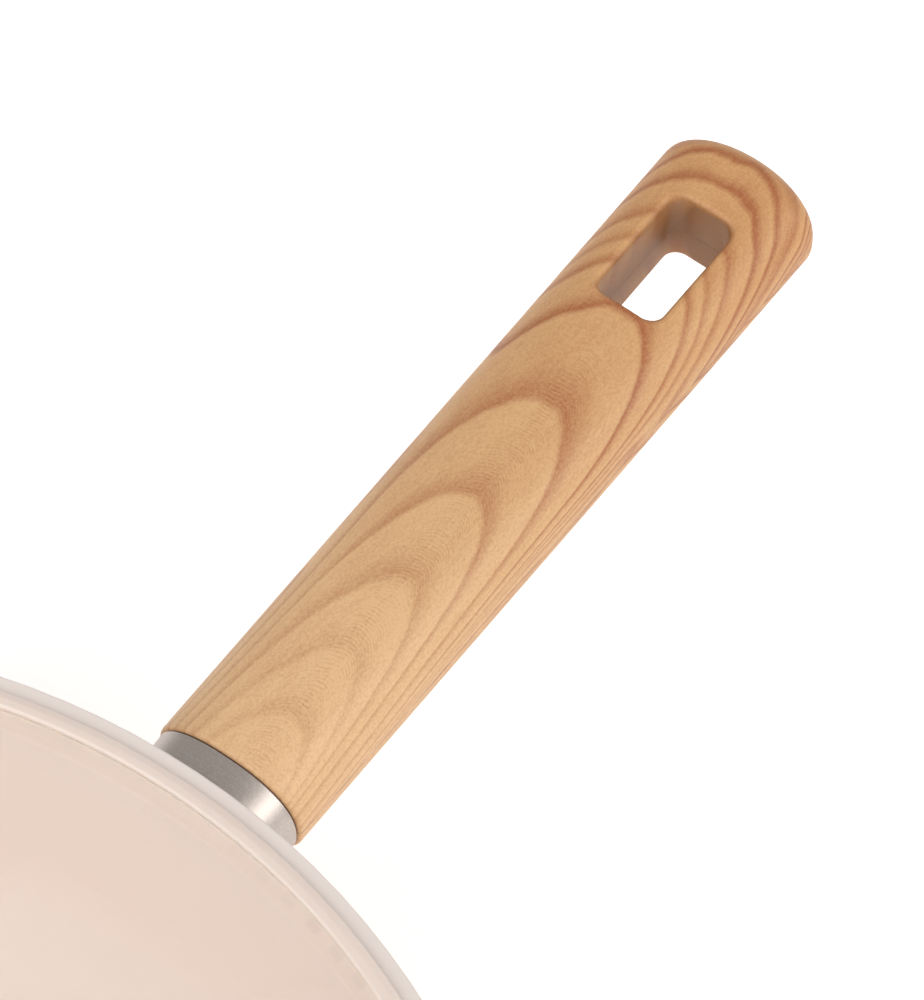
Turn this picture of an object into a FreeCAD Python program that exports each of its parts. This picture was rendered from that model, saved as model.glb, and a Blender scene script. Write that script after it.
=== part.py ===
import FreeCAD, Part
import math
import os
import re

import Sketcher
from FreeCAD import Placement, Rotation, Vector

# A wide saucepan with a long wood-effect handle and a domed glass lid, in millimetres.
# The origin is the centre of the underside, +Z is up and the handle points along +X.

DIMENSIONS = {
    # Pan: forged aluminium bowl with a flat rim and a steel plate let into its underside.
    "rim_radius": 140.0,
    "rim_height": 78.0,
    "rim_band": 4.5,
    "wall_foot_radius": 136.6,
    "floor_thickness": 5.0,
    "outer_corner": 24.0,
    "inner_corner": 20.0,
    "rim_outer_round": 0.5,
    "rim_inner_round": 1.0,
    "plate_radius": 104.0,
    "plate_thickness": 1.2,
    "plate_gap": 0.3,
    # Handle: everything on it is measured from its own axis, this far above the table.
    "handle_height": 60.5,
    "ferrule_start": 137.0,
    "ferrule_end": 147.5,
    "ferrule_start_half_width": 14.25,
    "ferrule_start_half_depth": 11.05,
    "ferrule_end_half_width": 14.8,
    "ferrule_end_half_depth": 11.5,
    "ferrule_wall": 1.2,
    "gasket_thickness": 0.4,
    "gasket_inset": 0.25,
    "grip_start_half_width": 15.35,
    "grip_start_depth": 12.0,
    "grip_tip_half_width": 16.25,
    "grip_tip_depth_above": 10.8,
    "grip_tip_depth_below": 8.2,
    "grip_tip_drop": 1.0,
    "grip_start_round": 0.8,
    "grip_tip": 304.0,
    "grip_tip_arc": 38.0,
    "grip_tip_round": 4.6,
    "hang_start": 262.5,
    "hang_length": 25.4,
    "hang_half_width": 6.7,
    "hang_corner": 3.0,
    "hang_edge_round": 1.2,
    # Bracket: a saddle and a tang welded to the wall, with two screws up into the tang.
    "saddle_thickness": 3.0,
    "saddle_half_width": 9.0,
    "saddle_half_height": 6.5,
    "tang_half_width": 7.0,
    "tang_half_thickness": 2.5,
    "tang_end": 206.0,
    "socket_gap": 0.2,
    "screw_first": 168.0,
    "screw_spacing": 26.0,
    "screw_shank_radius": 2.5,
    "screw_head_radius": 4.5,
    "screw_head_height": 2.5,
    "screw_hole_radius": 2.8,
    "counterbore_radius": 5.2,
    "counterbore_top": 5.2,
    "washer_radius": 4.9,
    "washer_thickness": 0.8,
    "spring_radius": 4.4,
    "spring_thickness": 1.0,
    # Lid: a glass cap cut from two spheres, edged with a silicone ring that sits on the rim.
    "glass_sphere_radius": 314.0,
    "glass_thickness": 4.0,
    "glass_edge_radius": 134.2,
    "glass_edge_rise": 1.6,
    "ring_lip_radius": 133.0,
    "ring_skirt_radius": 134.9,
    "ring_flange_radius": 136.6,
    "ring_skirt_depth": 3.8,
    "ring_flange_rise": 1.5,
    "ring_shoulder_rise": 2.6,
    "ring_lip_rise": 3.0,
    "ring_round": 0.5,
    "vent_radius": 85.0,
    "vent_hole_radius": 4.0,
    "vent_bore_radius": 2.2,
    "vent_tube_radius": 3.8,
    "vent_flange_radius": 6.2,
    "vent_flange_thickness": 0.8,
    "vent_rolled_radius": 4.9,
    # Knob: a steel pedestal and a wood-effect cap, held by one screw from under the glass.
    "knob_hole_radius": 4.0,
    "knob_gasket_radius": 13.0,
    "knob_gasket_thickness": 0.8,
    "pedestal_foot_radius": 14.0,
    "pedestal_neck_radius": 6.5,
    "pedestal_head_radius": 12.0,
    "pedestal_height": 16.0,
    "pedestal_flange": 1.2,
    "cap_radius": 21.5,
    "cap_foot_radius": 18.0,
    "cap_height": 20.0,
    "cap_edge_height": 9.0,
    "cap_shoulder_height": 15.0,
    "cap_crown_radius": 15.0,
    "cap_crown_height": 19.2,
    "cap_edge_round": 12.0,
    "cap_shoulder_round": 5.8,
    "cap_crown_round": 13.0,
    "cap_foot_round": 1.5,
    "insert_radius": 5.0,
    "insert_length": 12.0,
    "knob_screw_radius": 2.5,
    "knob_screw_bore": 2.7,
    "knob_screw_head_radius": 5.5,
    "knob_screw_head_height": 2.6,
    "knob_washer_radius": 8.0,
    "knob_washer_thickness": 1.0,
    "under_gasket_radius": 8.0,
    "under_gasket_thickness": 1.0,
}

OVAL_POINTS = 28
GRIP_STATIONS = 7
EASING_ABOVE = 1.3
EASING_BELOW = 0.75
START_SQUARENESS = 2.3
TIP_SQUARENESS = 2.6

doc = FreeCAD.newDocument("saucepan")
dims = doc.addObject("Spreadsheet::Sheet", "dims")
for row, (name, size) in enumerate(DIMENSIONS.items(), start=1):
    dims.set(f"A{row}", name.replace("_", " "))
    dims.set(f"B{row}", str(size))
    dims.setAlias(f"B{row}", name)
doc.recompute()


def cells(expression):
    """The expression with every dimension's name pointing at its cell in the sheet."""

    def point(word):
        return f"dims.{word.group()}" if word.group() in DIMENSIONS else word.group()

    return re.sub(r"[a-z_]+", point, expression)


def number(expression):
    """The value of an expression, read from the sheet."""
    return float(dims.evalExpression(cells(expression)))


def bind(thing, **expressions):
    """Ties properties of an object to the sheet, and x, y and z to its place."""
    for name, expression in expressions.items():
        path = f"Placement.Base.{name}" if name in ("x", "y", "z") else name
        thing.setExpression(path, cells(expression))
    return thing


# ---- Shapes that several pieces share

TOP_OF_SPHERE = "rim_height + glass_edge_rise - sqrt(glass_sphere_radius ^ 2 - glass_edge_radius ^ 2)"
CROWN = f"({TOP_OF_SPHERE} + glass_sphere_radius)"
UNDER_CROWN = f"({CROWN} - glass_thickness)"
PEDESTAL_FOOT = f"({CROWN} + knob_gasket_thickness)"
PEDESTAL_HEAD = f"({PEDESTAL_FOOT} + pedestal_height)"


def outline_sketch(body, name, plane, corners):
    """A closed outline of straight sides, with both distances of each corner set by the sheet."""
    sketch = body.newObject("Sketcher::SketchObject", name)
    origin = next(item for item in body.Origin.OriginFeatures if item.Role == plane)
    sketch.AttachmentSupport = [(origin, "")]
    sketch.MapMode = "FlatFace"
    points = [Vector(number(across), number(up), 0) for across, up in corners]
    for index, point in enumerate(points):
        sketch.addGeometry(Part.LineSegment(point, points[(index + 1) % len(points)]))
    for index in range(len(points)):
        sketch.addConstraint(Sketcher.Constraint("Coincident", index, 2, (index + 1) % len(points), 1))
    for index, (point, corner) in enumerate(zip(points, corners)):
        for kind, distance, expression, axis in (
            ("DistanceX", point.x, corner[0], -2),
            ("DistanceY", point.y, corner[1], -1),
        ):
            if expression == "0":
                sketch.addConstraint(Sketcher.Constraint("PointOnObject", index, 1, axis))
                continue
            constraint = sketch.addConstraint(Sketcher.Constraint(kind, -1, 1, index, 1, distance))
            sketch.setExpression(f"Constraints[{constraint}]", cells(expression))
    return sketch


def turned(label, corners, angle=360.0):
    """A body turned about its own Z axis from an outline of (radius, height) corners."""
    body = doc.addObject("PartDesign::Body", label)
    sketch = outline_sketch(body, f"{label}_outline", "XZ_Plane", corners)
    turn = body.newObject("PartDesign::Revolution", f"{label}_turn")
    turn.Profile = sketch
    turn.ReferenceAxis = (sketch, ["V_Axis"])
    turn.Angle = angle
    doc.recompute()
    return body


def rounded(body, radius, circles):
    """Rounds the circular edges that lie at the given (radius, height) corners of a turned body."""
    base = body.Tip
    wanted = [(number(across), number(up)) for across, up in circles]
    names = []
    for index, edge in enumerate(base.Shape.Edges, start=1):
        if not isinstance(edge.Curve, Part.Circle):
            continue
        for across, up in wanted:
            if abs(edge.Curve.Radius - across) < 0.01 and abs(edge.Curve.Center.z - up) < 0.01:
                names.append(f"Edge{index}")
    fillet = body.newObject("PartDesign::Fillet", f"{body.Name}_round")
    fillet.Base = (base, names)
    bind(fillet, Radius=radius)
    doc.recompute()
    return body


def cylinder(name, radius, height, **place):
    return bind(doc.addObject("Part::Cylinder", name), Radius=radius, Height=height, **place)


def block(name, length, width, height, **place):
    return bind(doc.addObject("Part::Box", name), Length=length, Width=width, Height=height, **place)


def boolean(kind, name, base, tool):
    """A Part::Cut, Part::Fuse or Part::Common of two objects."""
    result = doc.addObject(f"Part::{kind}", name)
    result.Base = base
    result.Tool = tool
    doc.recompute()
    return result


def oval(along, half_width, above, below, squareness, drop=0.0):
    """A superellipse across the handle, with its own depth above and below its widest line."""
    points = []
    for step in range(OVAL_POINTS):
        turn = 2 * math.pi * step / OVAL_POINTS
        across, up = math.cos(turn), math.sin(turn)
        depth = above if up > 0 else below
        points.append(Vector(
            along,
            half_width * math.copysign(abs(across) ** (2 / squareness), across),
            depth * math.copysign(abs(up) ** (2 / squareness), up) - drop,
        ))
    curve = Part.BSplineCurve()
    curve.interpolate(Points=points, PeriodicFlag=True)
    return Part.Wire(curve.toShape())


def oval_solid(name, wires):
    """A smooth solid through ovals, placed at the handle's height."""
    solid = doc.addObject("Part::Feature", name)
    solid.Shape = Part.makeLoft(wires, True, False)
    solid.Placement = Placement(Vector(0, 0, number("handle_height")), Rotation())
    return solid


def ferrule_oval(along, inset):
    """The ferrule's section, pulled in by an inset, on the straight taper between its ends."""
    share = (along - number("ferrule_start")) / number("ferrule_end - ferrule_start")
    half_width = number("ferrule_start_half_width") * (1 - share) + number("ferrule_end_half_width") * share
    half_depth = number("ferrule_start_half_depth") * (1 - share) + number("ferrule_end_half_depth") * share
    return oval(along, half_width - inset, half_depth - inset, half_depth - inset, START_SQUARENESS)


def wall_cone(name, growth="0"):
    """The outside of the pan's wall, carried up to the rim, for seating pieces against it."""
    cone = doc.addObject("Part::Cone", name)
    return bind(
        cone,
        Radius1=f"wall_foot_radius + {growth}",
        Radius2=f"rim_radius + {growth}",
        Height="rim_height",
    )


# ---- Pan

def make_pan_body():
    inner_foot = "wall_foot_radius - rim_band"
    body = turned("pan_body", [
        ("0", "plate_thickness"),
        ("plate_radius + plate_gap", "plate_thickness"),
        ("plate_radius + plate_gap", "0"),
        ("wall_foot_radius", "0"),
        ("rim_radius", "rim_height"),
        ("rim_radius - rim_band", "rim_height"),
        (inner_foot, "floor_thickness"),
        ("0", "floor_thickness"),
    ])
    rounded(body, "outer_corner", [("wall_foot_radius", "0")])
    rounded(body, "inner_corner", [(inner_foot, "floor_thickness")])
    rounded(body, "rim_outer_round", [("rim_radius", "rim_height")])
    rounded(body, "rim_inner_round", [("rim_radius - rim_band", "rim_height")])
    return body


def make_base_plate():
    return turned("base_plate", [
        ("0", "0"),
        ("plate_radius", "0"),
        ("plate_radius", "plate_thickness"),
        ("0", "plate_thickness"),
    ])


# ---- Handle

def screw_places():
    """How far along the handle each of its two screws is."""
    return ["screw_first", "screw_first + screw_spacing"]


def screw_holes(name, radius, bottom, height):
    """A pair of upright cylinders, one on each screw's axis, as one object."""
    first, second = [
        cylinder(f"{name}_{index}", radius, height, x=place, z=f"handle_height + {bottom}")
        for index, place in enumerate(screw_places(), start=1)
    ]
    return boolean("Fuse", name, first, second)


def make_handle_bracket():
    saddle_block = block(
        "saddle_block", "saddle_thickness * 4", "saddle_half_width * 2", "saddle_half_height * 2",
        x="ferrule_start - saddle_thickness", y="-saddle_half_width", z="handle_height - saddle_half_height",
    )
    saddle = boolean("Common", "saddle", saddle_block, wall_cone("saddle_outside", "saddle_thickness"))
    tang = block(
        "tang", "tang_end - ferrule_start", "tang_half_width * 2", "tang_half_thickness * 2",
        x="ferrule_start", y="-tang_half_width", z="handle_height - tang_half_thickness",
    )
    blank = boolean("Fuse", "bracket_blank", saddle, tang)
    seated = boolean("Cut", "bracket_seated", blank, wall_cone("bracket_seat"))
    threads = screw_holes(
        "tang_threads", "screw_shank_radius", "-tang_half_thickness * 2", "tang_half_thickness * 4"
    )
    return boolean("Cut", "handle_bracket", seated, threads)


def make_handle_ferrule():
    start, end = number("ferrule_start"), number("ferrule_end")
    wall = number("ferrule_wall")
    outside = oval_solid("ferrule_outside", [ferrule_oval(start, 0), ferrule_oval(end, 0)])
    inside = oval_solid("ferrule_inside", [ferrule_oval(start - 1, wall), ferrule_oval(end + 1, wall)])
    tube = boolean("Cut", "ferrule_tube", outside, inside)
    return boolean("Cut", "handle_ferrule", tube, wall_cone("ferrule_seat"))


def make_handle_gasket():
    start = number("ferrule_end")
    end = start + number("gasket_thickness")
    inset = number("gasket_inset")
    lip = number("gasket_inset + ferrule_wall * 2")
    outside = oval_solid("gasket_outside", [ferrule_oval(start, inset), ferrule_oval(end, inset)])
    inside = oval_solid("gasket_inside", [ferrule_oval(start - 1, lip), ferrule_oval(end + 1, lip)])
    return boolean("Cut", "handle_gasket", outside, inside)


def grip_ovals():
    """Sections from the ferrule to past the tip, widening, thinning and squaring as they go."""
    start = number("ferrule_end + gasket_thickness")
    end = number("grip_tip + grip_tip_round")
    depth = number("grip_start_depth")
    for station in range(GRIP_STATIONS):
        share = station / (GRIP_STATIONS - 1)
        yield oval(
            start + (end - start) * share,
            number("grip_start_half_width") * (1 - share) + number("grip_tip_half_width") * share,
            depth + (number("grip_tip_depth_above") - depth) * share ** EASING_ABOVE,
            depth + (number("grip_tip_depth_below") - depth) * share ** EASING_BELOW,
            START_SQUARENESS * (1 - share) + TIP_SQUARENESS * share,
            number("grip_tip_drop") * share,
        )


def end_rounding(edge):
    """The rounding that an edge round one end of the grip gets, and none for any other edge."""
    if edge.BoundBox.XMin > number("hang_start + hang_length + hang_corner"):
        return number("grip_tip_round")
    if edge.BoundBox.XMax < number("ferrule_end + gasket_thickness + grip_start_round"):
        return number("grip_start_round")
    return 0.0


def make_handle_grip():
    blank = oval_solid("grip_blank", list(grip_ovals()))
    tip_end = cylinder(
        "tip_end", "grip_tip_arc", "handle_height", x="grip_tip - grip_tip_arc", z="handle_height / 2"
    )
    shank = block(
        "grip_shank", "grip_tip - grip_tip_arc - ferrule_end", "grip_tip_arc * 2", "handle_height",
        x="ferrule_end", y="-grip_tip_arc", z="handle_height / 2",
    )
    plan = boolean("Fuse", "grip_plan", shank, tip_end)
    ended = boolean("Common", "grip_ended", blank, plan)
    softened = doc.addObject("Part::Fillet", "grip_softened")
    softened.Base = ended
    roundings = [(index, end_rounding(edge)) for index, edge in enumerate(ended.Shape.Edges, start=1)]
    softened.Edges = [(index, radius, radius) for index, radius in roundings if radius]
    doc.recompute()

    hang_block = block(
        "hang_block", "hang_length", "hang_half_width * 2", "handle_height",
        x="hang_start", y="-hang_half_width", z="handle_height / 2",
    )
    doc.recompute()
    hang_hole = doc.addObject("Part::Fillet", "hang_hole")
    hang_hole.Base = hang_block
    corner = number("hang_corner")
    hang_hole.Edges = [
        (index, corner, corner)
        for index, edge in enumerate(hang_block.Shape.Edges, start=1)
        if edge.BoundBox.ZLength > edge.BoundBox.DiagonalLength / 2
    ]
    holed = boolean("Cut", "grip_holed", softened, hang_hole)

    eased = doc.addObject("Part::Fillet", "grip_eased")
    eased.Base = holed
    ease = number("hang_edge_round")
    reach = number("hang_half_width") + 0.01
    eased.Edges = [
        (index, ease, ease)
        for index, edge in enumerate(holed.Shape.Edges, start=1)
        if edge.BoundBox.XMin > number("hang_start") - 0.01
        and edge.BoundBox.XMax < number("hang_start + hang_length") + 0.01
        and edge.BoundBox.YMax < reach
        and edge.BoundBox.YMin > -reach
        and edge.BoundBox.ZLength < corner
    ]
    doc.recompute()

    socket = block(
        "grip_socket", "tang_end + socket_gap * 4 - ferrule_end", "(tang_half_width + socket_gap) * 2",
        "(tang_half_thickness + socket_gap) * 2",
        x="ferrule_end", y="-tang_half_width - socket_gap", z="handle_height - tang_half_thickness - socket_gap",
    )
    socketed = boolean("Cut", "grip_socketed", eased, socket)
    clear_holes = screw_holes(
        "grip_screw_holes", "screw_hole_radius", "-counterbore_top * 2", "counterbore_top * 2"
    )
    drilled = boolean("Cut", "grip_drilled", socketed, clear_holes)
    counterbores = screw_holes(
        "grip_counterbores", "counterbore_radius", "-counterbore_top * 4", "counterbore_top * 3"
    )
    return boolean("Cut", "handle_grip", drilled, counterbores)


def pair_on_screws(label, make_one, height):
    """Two of the same fastener, one on each screw's axis, standing at a height on the handle."""
    copies = []
    for index, place in enumerate(screw_places(), start=1):
        one = make_one(f"{label}_{index}")
        copies.append(bind(one, x=place, z=f"handle_height + {height}"))
    doc.recompute()
    return boolean("Fuse", label, *copies)


def screw_outline(shank, head, head_height, reach):
    """Half of a flat-topped screw standing head down on its own origin."""
    return [
        ("0", "0"),
        (f"{head} * 0.8", "0"),
        (head, f"{head_height} * 0.35"),
        (head, head_height),
        (shank, head_height),
        (shank, f"{head_height} + {reach}"),
        ("0", f"{head_height} + {reach}"),
    ]


def cross_recess(name, base, depth, span, width):
    """Cuts a crossed pair of slots up into the head of a screw that stands head down."""
    long_slot = block(f"{name}_slot", span, width, depth, x=f"-({span}) / 2", y=f"-({width}) / 2")
    cross_slot = block(f"{name}_cross", width, span, depth, x=f"-({width}) / 2", y=f"-({span}) / 2")
    cross = boolean("Fuse", f"{name}_recess", long_slot, cross_slot)
    return boolean("Cut", name, base, cross)


def make_handle_screw(name):
    reach = "(counterbore_top + washer_thickness + spring_thickness + tang_half_thickness * 0.9)"
    outline = screw_outline("screw_shank_radius", "screw_head_radius", "screw_head_height", reach)
    blank = turned(f"{name}_blank", outline)
    return cross_recess(
        name, blank, "screw_head_height * 0.6", "screw_head_radius * 1.1", "screw_head_radius * 0.3"
    )


def make_flat_washer(name):
    return turned(name, [
        ("screw_hole_radius", "0"),
        ("washer_radius", "0"),
        ("washer_radius", "washer_thickness"),
        ("screw_hole_radius", "washer_thickness"),
    ])


def make_spring_washer(name):
    return turned(name, [
        ("screw_hole_radius", "0"),
        ("spring_radius", "0"),
        ("spring_radius", "spring_thickness"),
        ("screw_hole_radius", "spring_thickness"),
    ], angle=345.0)


# ---- Lid

def make_lid_glass():
    outside = bind(
        doc.addObject("Part::Sphere", "glass_outside"), Radius="glass_sphere_radius", z=TOP_OF_SPHERE
    )
    inside = bind(
        doc.addObject("Part::Sphere", "glass_inside"),
        Radius="glass_sphere_radius - glass_thickness", z=TOP_OF_SPHERE,
    )
    shell = boolean("Cut", "glass_shell", outside, inside)
    disc = cylinder("glass_disc", "glass_edge_radius", "rim_height", z="rim_height - glass_thickness * 2")
    cap = boolean("Common", "glass_cap", shell, disc)
    knob_hole = cylinder("glass_knob_hole", "knob_hole_radius", "rim_height", z="rim_height")
    holed = boolean("Cut", "glass_holed", cap, knob_hole)
    vent_hole = cylinder("glass_vent_hole", "vent_hole_radius", "glass_thickness * 4")
    vent_hole.Placement = vent_placement(-2 * number("glass_thickness"))
    return boolean("Cut", "lid_glass", holed, vent_hole)


def vent_placement(height):
    """A place on the vent's axis, square to the glass and this far above its outer surface."""
    radius = number("glass_sphere_radius")
    lean = math.asin(number("vent_radius") / radius)
    tilt = Rotation(Vector(0, 1, 0), -math.degrees(lean))
    centre = Vector(0, 0, number(TOP_OF_SPHERE))
    return Placement(centre + tilt.multVec(Vector(0, 0, radius + height)), tilt)


def make_lid_ring(glass):
    blank = turned("ring_blank", [
        ("ring_lip_radius", "rim_height - ring_skirt_depth * 0.75"),
        ("ring_skirt_radius", "rim_height - ring_skirt_depth"),
        ("ring_skirt_radius", "rim_height"),
        ("ring_flange_radius", "rim_height"),
        ("ring_flange_radius", "rim_height + ring_flange_rise"),
        ("ring_skirt_radius", "rim_height + ring_shoulder_rise"),
        ("ring_lip_radius", "rim_height + ring_lip_rise"),
    ])
    rounded(blank, "ring_round", [
        ("ring_flange_radius", "rim_height + ring_flange_rise"),
        ("ring_skirt_radius", "rim_height + ring_shoulder_rise"),
        ("ring_lip_radius", "rim_height + ring_lip_rise"),
    ])
    return boolean("Cut", "lid_ring", blank, glass)


def make_vent_eyelet():
    under = "glass_thickness + vent_flange_thickness"
    body = turned("vent_eyelet", [
        ("vent_bore_radius", f"-({under}) - vent_flange_thickness"),
        ("vent_rolled_radius", f"-({under}) - vent_flange_thickness"),
        ("vent_rolled_radius", f"-({under}) - vent_flange_thickness * 0.1"),
        ("vent_tube_radius", f"-({under}) - vent_flange_thickness * 0.1"),
        ("vent_tube_radius", "0"),
        ("vent_flange_radius", "0"),
        ("vent_flange_radius", "vent_flange_thickness * 0.5"),
        ("vent_flange_radius - vent_flange_thickness", "vent_flange_thickness"),
        ("vent_bore_radius", "vent_flange_thickness"),
    ])
    body.Placement = vent_placement(0)
    return body


def make_vent_washer():
    under = "glass_thickness + vent_flange_thickness * 1.08"
    body = turned("vent_washer", [
        ("vent_hole_radius", f"-({under})"),
        ("vent_flange_radius", f"-({under})"),
        ("vent_flange_radius", "-glass_thickness - vent_flange_thickness * 0.1"),
        ("vent_hole_radius", "-glass_thickness - vent_flange_thickness * 0.1"),
    ])
    body.Placement = vent_placement(0)
    return body


def make_knob_gasket_top(glass):
    blank = turned("gasket_top_blank", [
        ("knob_hole_radius", f"{UNDER_CROWN} + knob_gasket_thickness"),
        ("knob_gasket_radius", f"{UNDER_CROWN} + knob_gasket_thickness"),
        ("knob_gasket_radius", PEDESTAL_FOOT),
        ("knob_hole_radius", PEDESTAL_FOOT),
    ])
    return boolean("Cut", "knob_gasket_top", blank, glass)


def make_knob_gasket_bottom(glass):
    bottom = f"{UNDER_CROWN} - under_gasket_thickness"
    blank = turned("gasket_bottom_blank", [
        ("knob_screw_bore", bottom),
        ("under_gasket_radius", bottom),
        ("under_gasket_radius", f"{UNDER_CROWN} + under_gasket_thickness"),
        ("knob_screw_bore", f"{UNDER_CROWN} + under_gasket_thickness"),
    ])
    return boolean("Cut", "knob_gasket_bottom", blank, glass)


def make_knob_washer():
    top = f"{UNDER_CROWN} - under_gasket_thickness"
    return turned("knob_washer", [
        ("knob_screw_bore", f"{top} - knob_washer_thickness"),
        ("knob_washer_radius", f"{top} - knob_washer_thickness"),
        ("knob_washer_radius", top),
        ("knob_screw_bore", top),
    ])


def make_knob_base():
    body = turned("knob_base", [
        ("knob_screw_bore", PEDESTAL_FOOT),
        ("pedestal_foot_radius", PEDESTAL_FOOT),
        ("pedestal_foot_radius", f"{PEDESTAL_FOOT} + pedestal_flange"),
        ("pedestal_neck_radius", f"{PEDESTAL_FOOT} + pedestal_height * 0.45"),
        ("pedestal_head_radius", f"{PEDESTAL_HEAD} - pedestal_flange"),
        ("pedestal_head_radius", PEDESTAL_HEAD),
        ("knob_screw_bore", PEDESTAL_HEAD),
    ])
    return rounded(body, "pedestal_neck_radius", [
        ("pedestal_neck_radius", f"{PEDESTAL_FOOT} + pedestal_height * 0.45"),
    ])


def make_knob_grip():
    body = turned("knob_grip", [
        ("insert_radius", PEDESTAL_HEAD),
        ("cap_foot_radius", PEDESTAL_HEAD),
        ("cap_radius", f"{PEDESTAL_HEAD} + cap_edge_height"),
        ("cap_radius", f"{PEDESTAL_HEAD} + cap_shoulder_height"),
        ("cap_crown_radius", f"{PEDESTAL_HEAD} + cap_crown_height"),
        ("0", f"{PEDESTAL_HEAD} + cap_height"),
        ("0", f"{PEDESTAL_HEAD} + insert_length"),
        ("insert_radius", f"{PEDESTAL_HEAD} + insert_length"),
    ])
    rounded(body, "cap_shoulder_round", [("cap_radius", f"{PEDESTAL_HEAD} + cap_shoulder_height")])
    rounded(body, "cap_crown_round", [("cap_crown_radius", f"{PEDESTAL_HEAD} + cap_crown_height")])
    rounded(body, "cap_edge_round", [("cap_radius", f"{PEDESTAL_HEAD} + cap_edge_height")])
    return rounded(body, "cap_foot_round", [("cap_foot_radius", PEDESTAL_HEAD)])


def make_knob_insert():
    return turned("knob_insert", [
        ("knob_screw_radius", PEDESTAL_HEAD),
        ("insert_radius", PEDESTAL_HEAD),
        ("insert_radius", f"{PEDESTAL_HEAD} + insert_length"),
        ("knob_screw_radius", f"{PEDESTAL_HEAD} + insert_length"),
    ])


def make_knob_screw():
    head_bottom = f"{UNDER_CROWN} - under_gasket_thickness - knob_washer_thickness - knob_screw_head_height"
    reach = f"({PEDESTAL_HEAD} + insert_length * 0.8 - ({head_bottom}) - knob_screw_head_height)"
    outline = screw_outline("knob_screw_radius", "knob_screw_head_radius", "knob_screw_head_height", reach)
    blank = turned("knob_screw_blank", outline)
    screw = cross_recess(
        "knob_screw", blank, "knob_screw_head_height * 0.6", "knob_screw_head_radius * 1.1",
        "knob_screw_head_radius * 0.3",
    )
    return bind(screw, z=head_bottom)


# ---- Assembly

def make_subparts():
    spring_bottom = "-counterbore_top - washer_thickness - spring_thickness"
    glass = make_lid_glass()
    return [
        make_pan_body(),
        make_base_plate(),
        make_handle_bracket(),
        make_handle_ferrule(),
        make_handle_gasket(),
        make_handle_grip(),
        pair_on_screws("handle_flat_washers", make_flat_washer, "-counterbore_top - washer_thickness"),
        pair_on_screws("handle_spring_washers", make_spring_washer, spring_bottom),
        pair_on_screws("handle_screws", make_handle_screw, f"({spring_bottom} - screw_head_height)"),
        glass,
        make_lid_ring(glass),
        make_vent_eyelet(),
        make_vent_washer(),
        make_knob_gasket_top(glass),
        make_knob_gasket_bottom(glass),
        make_knob_washer(),
        make_knob_base(),
        make_knob_grip(),
        make_knob_insert(),
        make_knob_screw(),
    ]


def check(subparts):
    """Stops with the names of any object that failed to build, or of a sub-part that isn't sound."""
    failed = [thing.Name for thing in doc.Objects if {"Invalid", "Error"} & set(thing.State)]
    unsound = [part.Label for part in subparts if part.Shape.isNull() or not part.Shape.isValid()]
    if failed or unsound:
        raise RuntimeError(f"failed objects: {failed}; unsound sub-parts: {unsound}")


subparts = make_subparts()
doc.recompute()
check(subparts)
os.makedirs("parts", exist_ok=True)
for part in subparts:
    part.Shape.exportStep(f"parts/{part.Label}.step")
    print(f"{part.Label:24s} {len(part.Shape.Solids)} solid(s) {part.Shape.Volume / 1000:9.2f} cm3")
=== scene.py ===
import math

import bpy
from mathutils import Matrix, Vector


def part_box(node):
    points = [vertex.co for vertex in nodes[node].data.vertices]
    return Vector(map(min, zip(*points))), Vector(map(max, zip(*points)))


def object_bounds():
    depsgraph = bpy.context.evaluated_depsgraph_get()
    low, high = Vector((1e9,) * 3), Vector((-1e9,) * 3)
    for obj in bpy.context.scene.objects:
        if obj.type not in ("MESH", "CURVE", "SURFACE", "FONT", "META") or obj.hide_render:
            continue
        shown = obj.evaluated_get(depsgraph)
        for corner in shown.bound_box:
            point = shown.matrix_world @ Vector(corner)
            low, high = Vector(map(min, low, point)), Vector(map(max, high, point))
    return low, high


# A wide cream saucepan with a wood-effect handle and a glass lid, dressed for the studio.
# Lengths are in metres, except inside the materials, which work in millimetres.

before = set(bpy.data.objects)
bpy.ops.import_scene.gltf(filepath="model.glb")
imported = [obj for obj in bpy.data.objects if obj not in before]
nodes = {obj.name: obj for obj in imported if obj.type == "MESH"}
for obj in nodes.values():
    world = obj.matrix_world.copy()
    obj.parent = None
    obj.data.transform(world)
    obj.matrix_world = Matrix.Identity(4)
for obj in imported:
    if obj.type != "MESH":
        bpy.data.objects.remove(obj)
cad_low, cad_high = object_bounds()

MILLIMETRES = 1000.0
FULL_TURN = 2.0 * math.pi
WHITE = (1.0, 1.0, 1.0, 1.0)

grip_low, grip_high = (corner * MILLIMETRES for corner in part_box("handle_grip"))
pan_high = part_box("pan_body")[1] * MILLIMETRES
knob_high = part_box("knob_grip")[1] * MILLIMETRES
ferrule_low, ferrule_high = (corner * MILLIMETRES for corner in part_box("handle_ferrule"))
HANDLE_AXIS = (ferrule_low.z + ferrule_high.z) / 2


# ---- Fields: values worked out at each point of a surface, with ordinary arithmetic

class Field:
    """A node's output that adds, multiplies and so on by making further nodes."""

    def __init__(self, tree, socket):
        self.tree = tree
        self.socket = socket

    def __add__(self, other):
        return calculate("ADD", self, other)

    def __radd__(self, other):
        return calculate("ADD", other, self)

    def __sub__(self, other):
        return calculate("SUBTRACT", self, other)

    def __rsub__(self, other):
        return calculate("SUBTRACT", other, self)

    def __mul__(self, other):
        return calculate("MULTIPLY", self, other)

    def __rmul__(self, other):
        return calculate("MULTIPLY", other, self)

    def __truediv__(self, other):
        return calculate("DIVIDE", self, other)

    def __pow__(self, other):
        return calculate("POWER", self, other)


def wire(tree, kind, inputs, output=0, **settings):
    """Makes a node, feeds its inputs with fields or plain values, and returns one output."""
    node = tree.nodes.new(kind)
    for name, value in settings.items():
        setattr(node, name, value)
    for name, value in inputs.items():
        if isinstance(value, Field):
            tree.links.new(value.socket, node.inputs[name])
        else:
            node.inputs[name].default_value = value
    return Field(tree, node.outputs[output])


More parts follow.
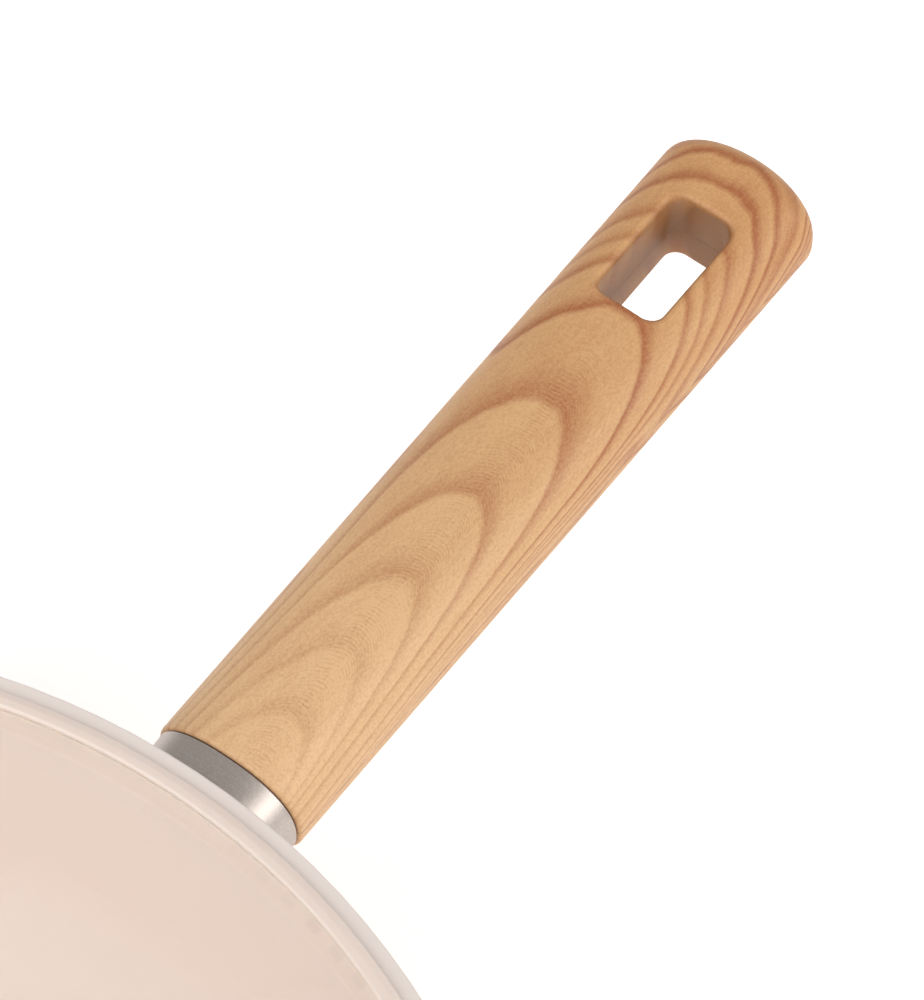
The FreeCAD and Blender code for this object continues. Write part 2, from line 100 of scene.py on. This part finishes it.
def tree_of(*values):
    """The node tree of the first field among the values."""
    return next(value.tree for value in values if isinstance(value, Field))


def calculate(operation, *values):
    return wire(tree_of(*values), "ShaderNodeMath", dict(enumerate(values)), operation=operation)


def smooth_step(field, low, high):
    """0 below low, 1 above high, and a soft rise between. With low above high it falls instead."""
    if low > high:
        return 1.0 - smooth_step(field, high, low)
    return wire(
        field.tree, "ShaderNodeMapRange", {"Value": field, "From Min": low, "From Max": high},
        interpolation_type="SMOOTHSTEP",
    )


def clamp(field):
    """The field held between 0 and 1."""
    return wire(field.tree, "ShaderNodeClamp", {"Value": field, "Min": 0.0, "Max": 1.0})


def blend(share, first, second):
    """first where share is 0 and second where it is 1."""
    return first + share * (second - first)


def square_root(field):
    return calculate("SQRT", field)


def size_of(field):
    return calculate("ABSOLUTE", field)


def greater(field, limit):
    return calculate("GREATER_THAN", field, limit)


def at_least(field, limit):
    return calculate("MAXIMUM", field, limit)


def at_most(field, limit):
    return calculate("MINIMUM", field, limit)


def vector(x, y, z):
    return wire(tree_of(x, y, z), "ShaderNodeCombineXYZ", {0: x, 1: y, 2: z})


def noise(where, scale=1.0, detail=2.0, roughness=0.5):
    """Smooth noise about 0.5, with scale in features per unit of where."""
    return wire(
        where.tree, "ShaderNodeTexNoise",
        {"Vector": where, "Scale": scale, "Detail": detail, "Roughness": roughness}, output="Fac",
    )


def swing(noise_field, amount):
    """Noise brought round 0, so that it adds or takes away up to half the amount."""
    return (noise_field - 0.5) * amount


def ramp(field, stops):
    """A grey looked up from (position, value) stops between 0 and 1."""
    node = field.tree.nodes.new("ShaderNodeValToRGB")
    field.tree.links.new(field.socket, node.inputs["Fac"])
    elements = node.color_ramp.elements
    while len(elements) > 1:
        elements.remove(elements[-1])
    for index, (position, value) in enumerate(stops):
        element = elements[0] if index == 0 else elements.new(position)
        element.position = position
        element.color = (value, value, value, 1.0)
    return Field(field.tree, node.outputs["Color"])


def colour(code):
    """The linear colour of a hexadecimal one, such as e6d2c3."""
    def linear(pair):
        share = int(pair, 16) / 255
        return share / 12.92 if share <= 0.04045 else ((share + 0.055) / 1.055) ** 2.4
    return (linear(code[0:2]), linear(code[2:4]), linear(code[4:6]), 1.0)


def mix_colours(share, first, second):
    """A colour between two. The share is a field, and either colour may be one."""
    node = share.tree.nodes.new("ShaderNodeMix")
    node.data_type = "RGBA"
    colour_inputs = [socket for socket in node.inputs if socket.type == "RGBA"]
    for socket, value in zip([node.inputs[0], *colour_inputs], (share, first, second)):
        if isinstance(value, Field):
            share.tree.links.new(value.socket, socket)
        else:
            socket.default_value = value
    result = next(socket for socket in node.outputs if socket.type == "RGBA")
    return Field(share.tree, result)


class Finish:
    """One material: a principled shader whose constants are plain and whose fields are wired."""

    def __init__(self, title, **constants):
        self.material = bpy.data.materials.new(title)
        self.material.use_nodes = True
        self.tree = self.material.node_tree
        self.shader = self.tree.nodes["Principled BSDF"]
        for name, value in constants.items():
            self.shader.inputs[name.replace("_", " ")].default_value = value
        coordinates = wire(self.tree, "ShaderNodeTexCoord", {}, output="Object")
        self.place = wire(
            self.tree, "ShaderNodeVectorMath", {0: coordinates, "Scale": MILLIMETRES},
            operation="SCALE",
        )
        split = self.tree.nodes.new("ShaderNodeSeparateXYZ")
        self.tree.links.new(self.place.socket, split.inputs[0])
        self.x, self.y, self.z = (Field(self.tree, socket) for socket in split.outputs)

    def feed(self, name, field):
        self.tree.links.new(field.socket, self.shader.inputs[name])

    def specular(self, level):
        self.shader.inputs["Specular IOR Level"].default_value = level

    def bump(self, height, depth):
        """Raises the surface by height, a field from 0 to 1, times depth in millimetres."""
        normal = wire(
            self.tree, "ShaderNodeBump",
            {"Height": height, "Distance": depth / MILLIMETRES, "Strength": 1.0}, output="Normal",
        )
        self.feed("Normal", normal)

    def see_through(self, share, tint):
        """Swaps the shader for plain tinted transparency where share is 1."""
        clear = wire(self.tree, "ShaderNodeBsdfTransparent", {"Color": tint}, output="BSDF")
        shader = Field(self.tree, self.shader.outputs["BSDF"])
        choice = wire(
            self.tree, "ShaderNodeMixShader", {0: share, 1: shader, 2: clear}, output="Shader",
        )
        self.tree.links.new(choice.socket, self.tree.nodes["Material Output"].inputs["Surface"])

    def radius(self):
        """Distance from the pan's upright axis."""
        return square_root(self.x * self.x + self.y * self.y)

    def turn(self):
        """Angle about the pan's upright axis."""
        return calculate("ARCTAN2", self.y, self.x)


def dress(finish, *names):
    """Gives the named pieces one finish and nothing else."""
    for name in names:
        piece = nodes[name]
        piece.data.materials.clear()
        piece.data.materials.append(finish.material)
        for face in piece.data.polygons:
            face.material_index = 0


# ---- Growth lines of the wood effect
# They are arches, one behind the other, with their crowns towards the grip's tip.

RINGS = (
    # Where a dark line crosses the grip's crown, how dark it is, how far it takes to rise, and
    # how far it takes to fade.
    (177.0, 0.42, 2.6, 6.0),
    (194.0, 0.60, 2.6, 8.0),
    (215.3, 0.68, 2.2, 7.0),
    (239.5, 0.70, 2.2, 9.0),
    (261.8, 0.88, 1.5, 4.0),
    (274.5, 0.80, 1.3, 2.4),
    (280.3, 0.62, 1.3, 2.2),
    (286.0, 0.66, 1.4, 3.0),
    (294.2, 0.92, 1.3, 2.4),
    (300.7, 0.95, 1.3, 2.4),
)
RINGS_FROM = 150.0
PALE_WOOD = 0.06
FADED_SHARE = 0.24

# From this ring on, the pattern repeats instead of coming to an end.
REPEATED_RING = RINGS[7]
REPEAT_FROM = REPEATED_RING[0]
REPEAT_LENGTH = 23.0

# One more line, close to the ferrule, only just shows.
FAINT_RING = 162.5
FAINT_RISE = 3.0
FAINT_FADE = 6.0
FAINT_DARKNESS = 0.36

# An arch falls back as the square of the distance from its middle, then steeply, and at last in
# a straight line.
WIDE_ARCH = 0.132
STEEP_ARCH = 1.3e-6
STEEP_LIMIT = 14.5
EDGE_SLOPE = 9.0

# The arches' middles lie to one side and drift across the grip, and one flank is the narrower.
FIRST_MIDDLE = -3.0
MIDDLE = -4.0
MIDDLE_DRIFT = 0.03
DRIFT_FROM = RINGS[1][0]
NARROW_FLANK = 1.25

# The arches are narrow near the ferrule and open out towards the tip, most of all at the slot.
FIRST_SQUEEZE = 0.8
SQUEEZE = 1.09
OPENING = 0.5
OPENING_FROM = 190.0
SLOT_OPENING = 0.06
SLOT_OPENING_FROM = 268.0
OPEN_AT = 300.0
GUESSES = 3


def arch(distance):
    """How far behind its crown an arched growth line has come at this distance from its middle."""
    inner = at_most(distance, STEEP_LIMIT)
    return WIDE_ARCH * inner ** 2.0 + STEEP_ARCH * inner ** 6.0 + EDGE_SLOPE * (distance - inner)


def ring_field(along, around):
    """A value that is constant along each growth line and equal to its place on the crown.

    The arches change along the grip, so a first guess is made better step by step. The second
    result is the distance from the arch's middle.
    """
    guess = along + arch(FIRST_SQUEEZE * size_of(around - FIRST_MIDDLE))
    for _ in range(GUESSES):
        middle = MIDDLE + MIDDLE_DRIFT * (guess - DRIFT_FROM)
        offset = around - middle
        narrow = blend(greater(offset, 0.0), NARROW_FLANK, 1.0)
        opening = OPENING * smooth_step(guess, OPENING_FROM, OPEN_AT)
        slot_opening = SLOT_OPENING * smooth_step(guess, SLOT_OPENING_FROM, OPEN_AT)
        squeeze = SQUEEZE - opening - slot_opening
        guess = along + arch(size_of(offset) * narrow * squeeze)
    return guess, offset


def ring_darkness(field):
    """How dark the late wood is at each value of the ring field."""
    span = REPEAT_FROM + REPEAT_LENGTH - RINGS_FROM
    beyond = calculate("MODULO", at_least(field - REPEAT_FROM, 0.0), REPEAT_LENGTH)
    wrapped = at_most(field, REPEAT_FROM) + beyond
    share = (wrapped - RINGS_FROM) / span
    stops = [(0.0, PALE_WOOD)]
    for place, darkness, rise, fade in RINGS:
        stops.append(((place - rise - RINGS_FROM) / span, PALE_WOOD * darkness))
        stops.append(((place - RINGS_FROM) / span, darkness))
        stops.append(((place + fade - RINGS_FROM) / span, FADED_SHARE * darkness))
    stops.append((1.0, REPEATED_RING[1]))
    coming = smooth_step(field, FAINT_RING - FAINT_RISE, FAINT_RING)
    going = smooth_step(field, FAINT_RING + FAINT_FADE, FAINT_RING)
    return ramp(share, sorted(stops)) + coming * going * FAINT_DARKNESS


# ---- Wood effect: a printed film with growth lines, fibres, flecks and fine ripples

LIGHT_WOOD_NEAR = colour("deb789")
LIGHT_WOOD_FAR = colour("ce9d69")
DARK_WOOD = colour("a4623b")

# The growth lines wander more in the grip's flat middle than at its edges.
FLAT_MIDDLE = 9.0
EDGES = 18.0
WANDER_AT_EDGES = 2.0
WANDER_IN_MIDDLE = 4.5

# They are faintest near the ferrule and at full strength before the slot. The last two values are
# shares of the length.
FAINTEST = 0.55
FAINT_UNTIL = 0.10
FULL_FROM = 0.66

# How much each kind of grain darkens or lightens the wood.
FIBRE_SHARE = 0.38
STREAK_SHARE = 0.30
SPECK_SHARE = 0.85
PATCH_SHARE = 0.36
RIPPLE_SHARE = 0.13
WOOD_GRAIN_DEPTH = 0.03

# Fine ripples lie along the crowns of the arches, up to the slot.
RIPPLE_LENGTH = 0.78
RIPPLE_HALF_WIDTH = 5.5
RIPPLE_FULL_HALF_WIDTH = 1.5
RIPPLES_UNTIL = 262.0
RIPPLES_FULL_UNTIL = 240.0


def wood_colour(finish, along, around, start, length):
    """The colour of a wood film, a height for its grain, and how dark its growth lines are."""
    wobble = noise(vector(along * 0.05, around * 0.12, finish.z * 0.05), detail=3.0) - 0.5
    in_middle = smooth_step(size_of(around), EDGES, FLAT_MIDDLE)
    wander = wobble * blend(in_middle, WANDER_AT_EDGES, WANDER_IN_MIDDLE)
    field, offset = ring_field(along + wander, around)
    full = smooth_step(along, start + FAINT_UNTIL * length, start + FULL_FROM * length)
    dark = ring_darkness(field) * blend(full, FAINTEST, 1.0)

    fibre = noise(vector(field * 1.6, along * 0.25, around * 0.12), detail=4.0, roughness=0.65)
    streak = noise(vector(along * 0.12, around * 1.5, finish.z * 0.3), detail=3.0, roughness=0.6)
    speck = noise(vector(along * 1.7, around * 2.3, finish.z * 1.2), roughness=0.7)
    patch = noise(vector(along * 0.04, around * 0.10, 3.0))

    near_crown = smooth_step(size_of(offset), RIPPLE_HALF_WIDTH, RIPPLE_FULL_HALF_WIDTH)
    near_crown = near_crown * smooth_step(field, RIPPLES_UNTIL, RIPPLES_FULL_UNTIL)
    ripple = calculate("SINE", field * (FULL_TURN / RIPPLE_LENGTH) + fibre * 8.0) * near_crown
    ripple = ripple * smooth_step(streak, 0.36, 0.62)

    shade = dark + PALE_WOOD + swing(fibre, FIBRE_SHARE) + swing(streak, STREAK_SHARE)
    shade = shade + swing(speck, SPECK_SHARE) + swing(patch, PATCH_SHARE) * in_middle
    shade = shade + ripple * RIPPLE_SHARE
    light = mix_colours(smooth_step(along, start, start + length), LIGHT_WOOD_NEAR, LIGHT_WOOD_FAR)
    tone = mix_colours(clamp(shade), light, DARK_WOOD)
    height = fibre * 0.4 + speck * 0.5 - dark * 0.3
    return tone, height, dark


def wood_finish(name):
    finish = Finish(name)
    finish.specular(0.4)
    return finish


def wood_roughness(finish, dark):
    """A soft matt lacquer that is a little smoother over the growth lines."""
    return 0.50 + swing(noise(finish.place, 1.2, detail=3.0), 0.16) - dark * 0.04


# The grip's top, its underside and the seam between them come together a little towards the tip.
CROWN_FALL = 2.2
KEEL_RISE = 2.8
MIDDLE_FALL = 1.0

# From above the tip is an arc of this radius. The film turns down over it between these distances
# from its end.
TIP_ARC = 38.0
TURN_FROM = 5.5
TURN_TO = 1.5
UNDERSIDE_SHIFT = 11.0

# The film reaches a little way down into the hanging slot, and further on the wall at its +Y side.
# Where it stops sooner, the darker plastic below paints the deeper shade on those walls.
HANG_START = 262.5
HANG_END = 287.9
HANG_HALF_WIDTH = 6.7
FILM_REACH = 1.2
FAR_FILM_REACH = 9.0
FILM_UNEVENNESS = 2.0

SEAM_HALF_WIDTH = 0.22
SEAM_DEPTH = 1.5


def wood_grip():
    finish = wood_finish("wood_effect_grip")
    x, y, z = finish.x, finish.y, finish.z
    start, tip = grip_low.x, grip_high.x
    share = (x - start) / (tip - start)
    crown = grip_high.z - CROWN_FALL * share
    keel = grip_low.z + KEEL_RISE * share
    middle = HANDLE_AXIS - MIDDLE_FALL * share
    upper = greater(z, middle)
    fall = at_least(blend(upper, z - keel, crown - z), 0.0)
    below_crown = at_least(crown - z, 0.0)

    # The film is laid over the grip. Across the grip the pattern carries on down both sides, and
    # along it over the tip. The underside's film starts a little further along the pattern.
    side = y / (size_of(y) + 3.0)
    around = y + side * 0.75 * fall * fall / (fall + 4.0)
    over_tip = smooth_step(x + y * y / (2.0 * TIP_ARC), tip - TURN_FROM, tip - TURN_TO)
    along = x + over_tip * below_crown * 0.9 + (1.0 - upper) * (1.0 - over_tip) * UNDERSIDE_SHIFT
    tone, height, dark = wood_colour(finish, along, around, start, tip - start)

    # In the hanging slot the film ends in an uneven line, with plain plastic below it. Near the
    # slot's edges and down its walls the film is painted darker, as the shade inside the slot.
    in_length = smooth_step(size_of(x - (HANG_START + HANG_END) / 2), 14.2, 12.8)
    in_width = smooth_step(size_of(y), HANG_HALF_WIDTH + 1.0, HANG_HALF_WIDTH - 0.3)
    in_slot = in_length * in_width
    far_wall = smooth_step(y, 2.0, HANG_HALF_WIDTH - 0.6)
    film_end = blend(far_wall, FILM_REACH, FAR_FILM_REACH)
    film_end = film_end + swing(noise(finish.place, 0.35), FILM_UNEVENNESS)
    bare_and_shaded = in_slot * clamp((fall - 0.3) / film_end)
    # Bare plastic, in a colour made darker so that it also paints the shade inside the slot.
    plastic_and_shade = mix_colours(noise(finish.place, 2.5, detail=3.0), colour("8e6039"), colour("9b6d41"))
    # Painted shade: the film is darkened over the slot's rounded edges and down its walls.
    tone = mix_colours(in_slot * smooth_step(fall, 0.0, 0.8) * 0.45, tone, colour("a26d43"))
    tone = mix_colours(bare_and_shaded, tone, plastic_and_shade)

    # The mould's two halves meet in a seam along the sides, which shows in places.
    seam = smooth_step(size_of(z - middle), SEAM_HALF_WIDTH, 0.08)
    seam_patch = smooth_step(noise(finish.place, 0.16, detail=1.0), 0.42, 0.60)
    tone = mix_colours(seam * seam_patch * 0.5, tone, colour("6d4a33"))
    finish.feed("Base Color", tone)
    finish.feed("Roughness", wood_roughness(finish, dark))
    finish.bump(height - seam * SEAM_DEPTH, WOOD_GRAIN_DEPTH)
    return finish


# The knob shows the pattern about this place, drawn closer together. The colour's change from
# near to far and the lines' strength are those of a stretch with this start and length.
KNOB_PLACE = 262.0
KNOB_CLOSENESS = 1.7
KNOB_START = 200.0
KNOB_LENGTH = 100.0


def wood_knob():
    finish = wood_finish("wood_effect_knob")
    drop = knob_high.z - finish.z
    along = finish.x * KNOB_CLOSENESS + KNOB_PLACE - drop * 0.8
    around = finish.y * 0.95 - 2.0
    tone, height, dark = wood_colour(finish, along, around, KNOB_START, KNOB_LENGTH)
    finish.feed("Base Color", tone)
    finish.feed("Roughness", wood_roughness(finish, dark))
    finish.bump(height, WOOD_GRAIN_DEPTH)
    return finish


# ---- Ceramic, steel, rubber and glass

RIM_BAND = 6.2
TURNED_PITCH = 1.4
FOOT_HEIGHT = 2.2


def cream_ceramic():
    """A cream coating with faint specks, a rim top painted greyer as a reflection, and fine turned
    rings on the foot.
    """
    finish = Finish("cream_ceramic_coating", Coat_Weight=0.08, Coat_Roughness=0.35)
    finish.specular(0.32)
    radius = finish.radius()
    speck = noise(finish.place, 3.0, detail=3.0, roughness=0.7)
    cloud = noise(finish.place, 0.02)
    on_band = smooth_step(radius, pan_high.x - RIM_BAND, pan_high.x - RIM_BAND + 2.0)
    on_top = smooth_step(finish.z, pan_high.z - 4.0, pan_high.z - 0.6)
    inside = mix_colours(cloud, colour("efded6"), colour("eddbd1"))
    # Painted reflection: the rim's flat top is painted greyer and cooler, as the pale surroundings
    # it reflects.
    coating = mix_colours(on_band * on_top, inside, colour("e2d7d0"))
    coating = mix_colours(smooth_step(speck, 0.60, 0.78) * 0.10, coating, colour("c9b2a2"))
    under = smooth_step(finish.z, FOOT_HEIGHT, 0.6)
    turned = calculate("SINE", radius * (FULL_TURN / TURNED_PITCH)) * 0.5 + 0.5
    coating = mix_colours(under * turned * 0.25, coating, colour("b9a596"))
    finish.feed("Base Color", coating)
    finish.feed("Roughness", 0.56 + swing(speck, 0.14) + swing(cloud, 0.10))
    peel = noise(finish.place, 0.7)
    finish.bump(peel * 0.5 + speck * 0.2 + under * turned * 0.6, 0.025)
    return finish


def around_handle(finish):
    """A place that changes fast along the handle and slowly round it, so lines run round it."""
    return vector(finish.x * 4.5, finish.y * 0.10, (finish.z - HANDLE_AXIS) * 0.10)


def around_pan(finish):
    """A place that changes fast outwards and slowly round the pan, so lines run round it."""
    return vector(finish.radius() * 6.0, finish.turn() * 1.2, finish.z * 1.2)


def brushed(name, line_place, cloud_scale, base, light, roughness, depth=0.012):
    """Steel with fine lines and specks."""
    finish = Finish(name, Metallic=1.0)
    lines = noise(line_place(finish), detail=5.0, roughness=0.75)
    speck = noise(finish.place, 2.4, roughness=0.7)
    cloud = noise(finish.place, cloud_scale)
    grain = clamp(lines * 0.8 + speck * 0.9 - 0.35)
    finish.feed("Base Color", mix_colours(grain, colour(base), colour(light)))
    unevenness = swing(speck, 0.20)
    finish.feed("Roughness", roughness + swing(lines, 0.14) + unevenness + swing(cloud, 0.08))
    finish.bump(lines * 0.6 + speck * 0.4, depth)
    return finish


DOT_PITCH = 7.0
DOT_RADIUS = 1.65
DOT_EDGE = 0.2
DOTS_FROM = 24.0
DOTS_TO = 101.0


def induction_steel():
    """Steel brushed in circles, with rings of small sunk dots."""
    finish = Finish("induction_steel", Metallic=1.0)
    radius = finish.radius()
    ring = calculate("ROUND", radius / DOT_PITCH)
    ring_radius = at_least(ring * DOT_PITCH, 1.0)
    count = calculate("ROUND", ring_radius * (FULL_TURN / DOT_PITCH))
    turns = finish.turn() / FULL_TURN * count
    sideways = (turns - calculate("ROUND", turns)) * FULL_TURN * ring_radius / count
    outward = radius - ring * DOT_PITCH
    distance = square_root(sideways * sideways + outward * outward)
    dotted = smooth_step(radius, DOTS_FROM, DOTS_FROM + DOT_EDGE)
    dotted = dotted * smooth_step(radius, DOTS_TO, DOTS_TO - DOT_EDGE)
    dot = smooth_step(distance, DOT_RADIUS + DOT_EDGE / 2, DOT_RADIUS - DOT_EDGE / 2) * dotted
    lines = noise(around_pan(finish), detail=4.0, roughness=0.7)
    steel = mix_colours(clamp(lines * 1.2 - 0.1), colour("8f8c88"), colour("b9b6b1"))
    finish.feed("Base Color", mix_colours(dot, steel, colour("dcdbd8")))
    finish.feed("Roughness", 0.30 + swing(lines, 0.18) + dot * 0.14)
    finish.bump(lines * 0.4 - dot * 1.2, 0.05)
    return finish


def dark_rubber():
    finish = Finish("dark_gasket")
    grain = noise(finish.place, 3.0, detail=3.0)
    finish.feed("Base Color", mix_colours(grain, colour("4a3122"), colour("694732")))
    finish.feed("Roughness", 0.62 + swing(grain, 0.2))
    finish.bump(grain, 0.02)
    return finish


def silicone(name, pale, deep, clearness):
    finish = Finish(name, Subsurface_Weight=0.3, Subsurface_Scale=0.002)
    finish.shader.inputs["Subsurface Radius"].default_value = (1.0, 0.7, 0.5)
    finish.shader.inputs["Transmission Weight"].default_value = clearness
    grain = noise(finish.place, 1.6, detail=4.0, roughness=0.7)
    finish.feed("Base Color", mix_colours(grain, colour(pale), colour(deep)))
    finish.feed("Roughness", 0.48 + swing(grain, 0.18))
    finish.bump(grain, 0.02)
    return finish


GLASS_INDEX = 1.5
GLASS_SHADOW = (0.94, 0.96, 0.95, 1.0)


def clear_glass():
    """Glass with faint smudges, which lets light straight through to what is under it."""
    finish = Finish("lid_glass", Transmission_Weight=1.0, IOR=GLASS_INDEX, Roughness=0.0)
    finish.shader.inputs["Base Color"].default_value = colour("fbfdfc")
    smudge = noise(finish.place, 0.03, detail=3.0)
    finish.feed("Roughness", smooth_step(smudge, 0.55, 0.8) * 0.03)
    in_shadow = wire(finish.tree, "ShaderNodeLightPath", {}, output="Is Shadow Ray")
    finish.see_through(in_shadow, GLASS_SHADOW)
    return finish


KNURL_TEETH = 36.0
KNURL_SLANT = 1.5


def knurled_brass():
    """Slightly tarnished brass with a crossed pattern of fine teeth."""
    finish = Finish("insert_brass", Metallic=1.0)
    teeth = finish.turn() * KNURL_TEETH
    slant = finish.z * KNURL_SLANT
    knurl = calculate("SINE", teeth + slant) * calculate("SINE", teeth - slant)
    tarnish = noise(finish.place, 0.6, detail=3.0)
    finish.feed("Base Color", mix_colours(tarnish, colour("c9a456"), colour("a8843e")))
    finish.feed("Roughness", 0.30 + tarnish * 0.15)
    finish.bump(knurl * 0.5 + 0.5, 0.15)
    return finish


dress(wood_grip(), "handle_grip")
dress(wood_knob(), "knob_grip")
dress(cream_ceramic(), "pan_body")
dress(brushed("ferrule_steel", around_handle, 0.05, "a89c93", "d5cbc4", 0.44, depth=0.010),
      "handle_ferrule")
dress(brushed("knob_steel", around_pan, 0.05, "a89c93", "d5cbc4", 0.42, depth=0.010),
      "knob_base")
dress(brushed("bracket_steel", around_handle, 0.08, "807b77", "aaa5a0", 0.42),
      "handle_bracket")
dress(brushed("fastener_steel", around_pan, 0.3, "9b9a98", "c4c3c0", 0.28),
      "handle_screws", "handle_flat_washers", "handle_spring_washers", "knob_washer", "knob_screw")
dress(brushed("polished_steel", around_pan, 0.2, "8d8b88", "b4b1ad", 0.20, depth=0.004),
      "vent_eyelet", "vent_washer")
dress(induction_steel(), "base_plate")
dress(dark_rubber(), "handle_gasket")
dress(silicone("cream_silicone", "eadad0", "e4d3c8", 0.0), "lid_ring")
dress(silicone("clear_silicone", "e9e9e6", "dcdcd8", 0.5), "knob_gasket_top", "knob_gasket_bottom")
dress(clear_glass(), "lid_glass")
dress(knurled_brass(), "knob_insert")


# ---- Studio: a pale floor, soft light and the camera

FLOOR_REACH = 4.0
FLOOR_GAP = 0.0002
FLOOR_GLOW = 0.30

AMBIENT_LIGHT = 0.455
GLOWS = (
    # The direction, the brightness, and the angles at which it starts and stops fading.
    ((0.36, -0.74, 0.56), 5.4, 5.0, 19.0),
    ((-0.80, 0.30, 0.80), 2.2, 12.0, 36.0),
    ((-0.30, -0.75, 0.80), 1.1, 11.0, 33.0),
)

VIEW_AZIMUTH = math.radians(-53.37)
VIEW_ELEVATION = math.radians(58.75)
VIEW_DISTANCE = 1.148

# The camera looks at a place beside the grip's middle, given in millimetres like the lens.
AIM_BEFORE_MIDDLE = 8.05
AIM_TO_SIDE = 2.4
LENS = 235.2
SENSOR_WIDTH = 36.0
NEAREST = 0.05
FARTHEST = 50.0


def floor():
    """A pale floor just under the pan, which can't be seen from below."""
    level = cad_low.z - FLOOR_GAP
    signs = ((-1, -1), (1, -1), (1, 1), (-1, 1))
    corners = [(x * FLOOR_REACH, y * FLOOR_REACH, level) for x, y in signs]
    mesh = bpy.data.meshes.new("studio_floor")
    mesh.from_pydata(corners, [], [(0, 1, 2, 3)])
    piece = bpy.data.objects.new("studio_floor", mesh)
    bpy.context.scene.collection.objects.link(piece)
    finish = Finish("studio_floor", Emission_Strength=FLOOR_GLOW, Emission_Color=WHITE)
    grain = noise(finish.place, 0.02)
    finish.feed("Base Color", mix_colours(grain, colour("f7f7f6"), colour("fafafa")))
    finish.feed("Roughness", 0.8 + swing(grain, 0.1))
    from_below = wire(finish.tree, "ShaderNodeNewGeometry", {}, output="Backfacing")
    finish.see_through(from_below, WHITE)
    mesh.materials.append(finish.material)


def studio():
    """Soft light from all round, with three large soft glows that fade out at their edges."""
    world = bpy.data.worlds.new("studio")
    world.use_nodes = True
    tree = world.node_tree
    direction = wire(tree, "ShaderNodeTexCoord", {}, output="Generated")
    light = AMBIENT_LIGHT
    for way, brightness, full, gone in GLOWS:
        nearness = wire(
            tree, "ShaderNodeVectorMath", {0: direction, 1: Vector(way).normalized()},
            output="Value", operation="DOT_PRODUCT",
        )
        edge, heart = (math.cos(math.radians(angle)) for angle in (gone, full))
        light = light + brightness * smooth_step(nearness, edge, heart)
    background = tree.nodes["Background"]
    background.inputs["Color"].default_value = WHITE
    tree.links.new(light.socket, background.inputs["Strength"])
    bpy.context.scene.world = world
    bpy.context.scene.view_settings.view_transform = "Standard"


def camera():
    """A long lens that looks down on the handle from the side."""
    data = bpy.data.cameras.new("camera")
    data.lens = LENS
    data.sensor_width = SENSOR_WIDTH
    data.clip_start = NEAREST
    data.clip_end = FARTHEST
    camera_object = bpy.data.objects.new("camera", data)
    bpy.context.scene.collection.objects.link(camera_object)
    back = Vector((
        math.sin(VIEW_AZIMUTH) * math.cos(VIEW_ELEVATION),
        -math.cos(VIEW_AZIMUTH) * math.cos(VIEW_ELEVATION),
        math.sin(VIEW_ELEVATION),
    ))
    aim_x = (grip_low.x + grip_high.x) / 2 - AIM_BEFORE_MIDDLE
    aim = Vector((aim_x, AIM_TO_SIDE, HANDLE_AXIS)) / MILLIMETRES
    camera_object.location = aim + back * VIEW_DISTANCE
    camera_object.rotation_mode = "QUATERNION"
    camera_object.rotation_quaternion = back.to_track_quat("Z", "Y")
    bpy.context.scene.camera = camera_object


floor()
studio()
camera()
